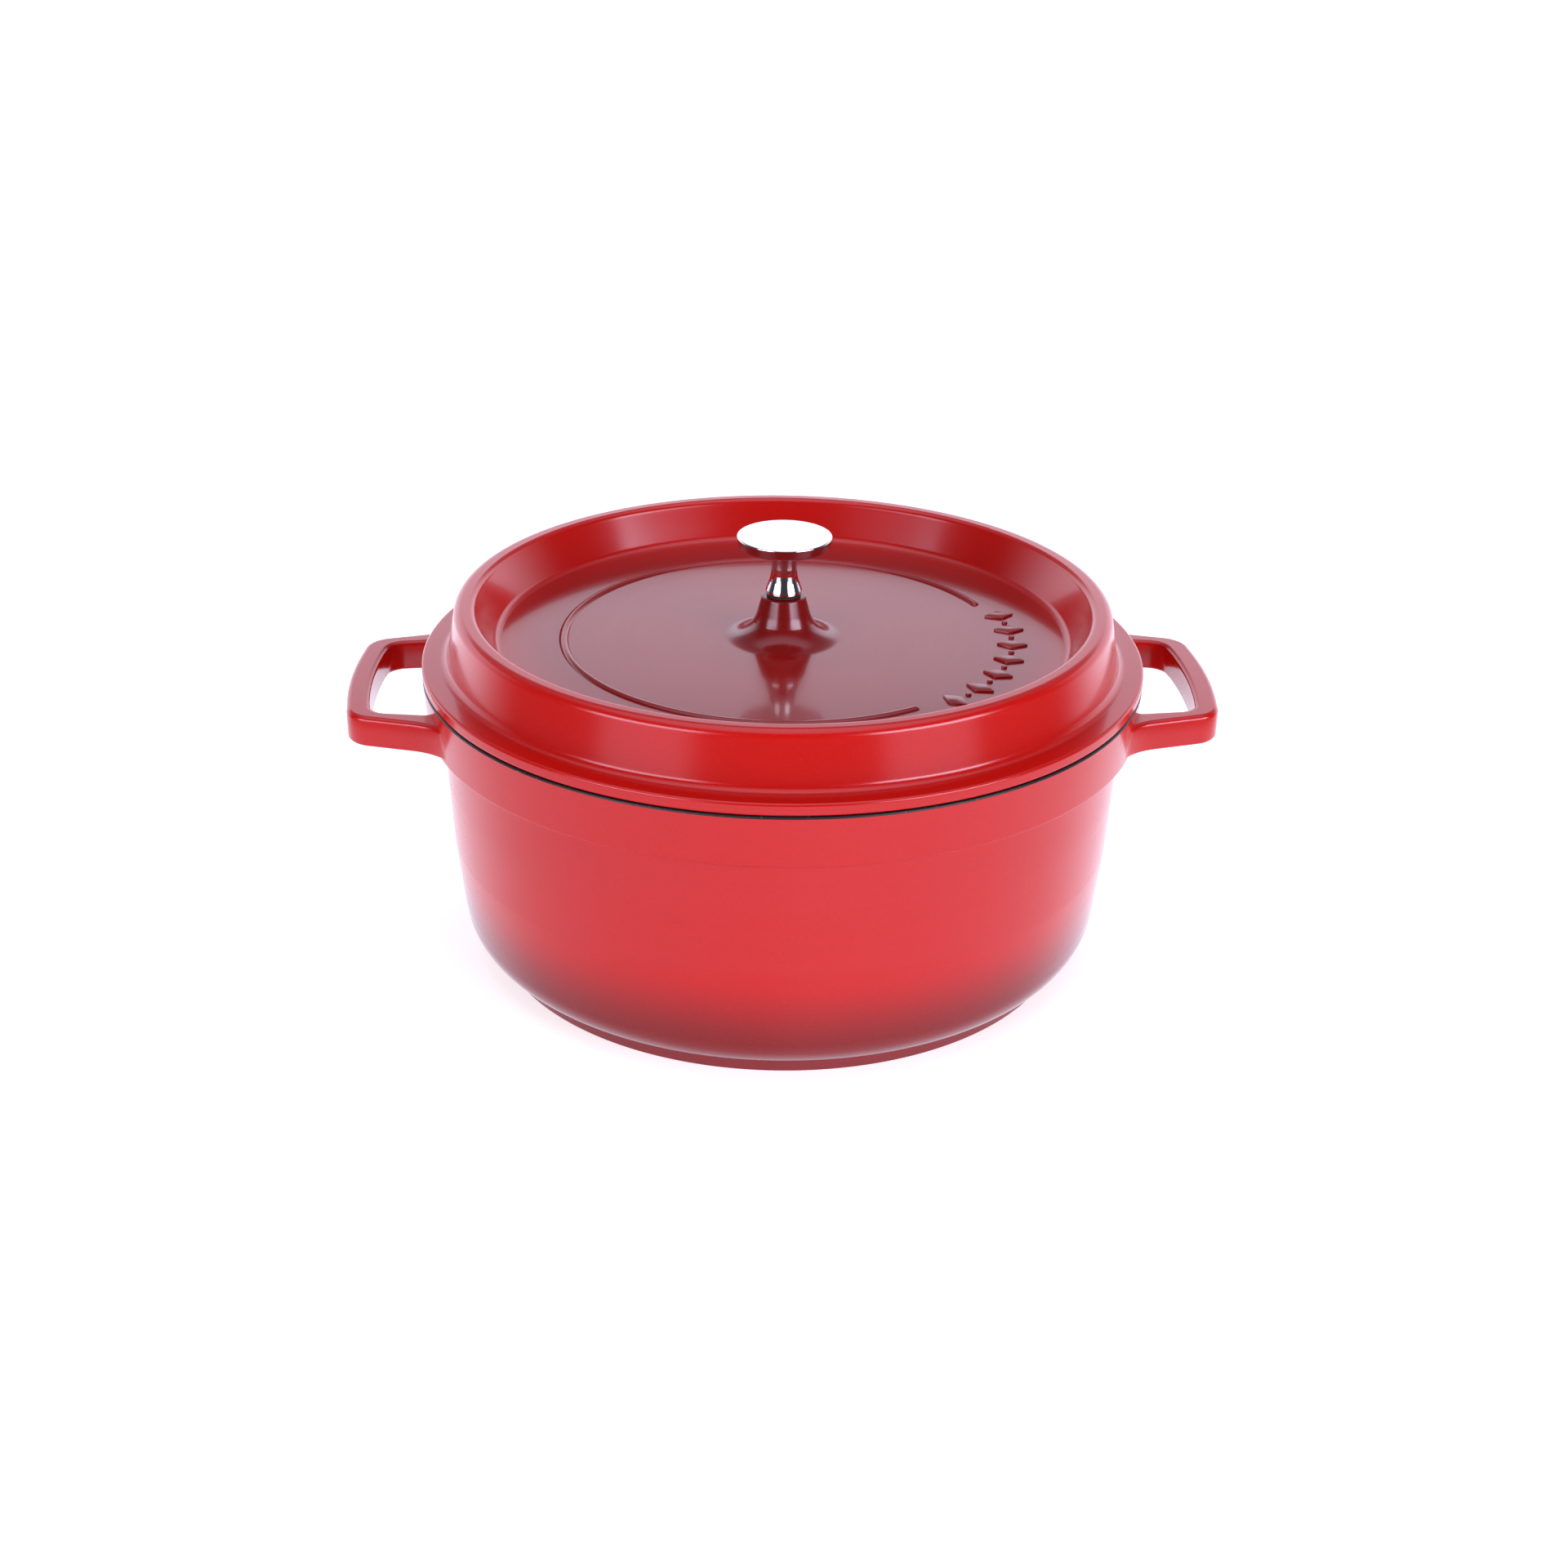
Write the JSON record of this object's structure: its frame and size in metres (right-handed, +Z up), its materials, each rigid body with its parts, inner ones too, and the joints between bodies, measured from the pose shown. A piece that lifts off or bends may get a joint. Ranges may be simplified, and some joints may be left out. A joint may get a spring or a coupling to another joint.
{
  "type": "lidded casserole pot",
  "caption": "Round lidded cast pot with two loop handles, a raised ring on its sunk lid and a steel mushroom knob.",
  "frame": {"origin": "centre of the foot, on the surface the pot stands on", "axes": "+X through both handles, -Y towards the front, +Z up through the knob"},
  "size_m": [0.3496, 0.29, 0.1748],
  "materials": {
    "pot_lacquer": "satin red lacquer over cast aluminium, black non-stick inside",
    "lid_lacquer": "satin red lacquer over cast aluminium, black non-stick below",
    "base_steel": "ground ferritic stainless steel",
    "knob_steel": "polished stainless steel",
    "gasket_rubber": "matt black silicone rubber",
    "fixing_steel": "plain stainless steel"
  },
  "bodies": {
    "pot": {"pot_body": "pot_lacquer", "base_plate": "base_steel"},
    "cover": {"lid": "lid_lacquer", "knob": "knob_steel", "knob_gasket": "gasket_rubber", "flat_washer": "fixing_steel", "lock_washer": "fixing_steel", "knob_screw": "fixing_steel"}
  },
  "joints": [
    {"name": "lid_lift", "type": "slide", "parent": "pot", "child": "cover", "axis": [0, 0, 1], "range_m": [0, 0.16]}
  ]
}
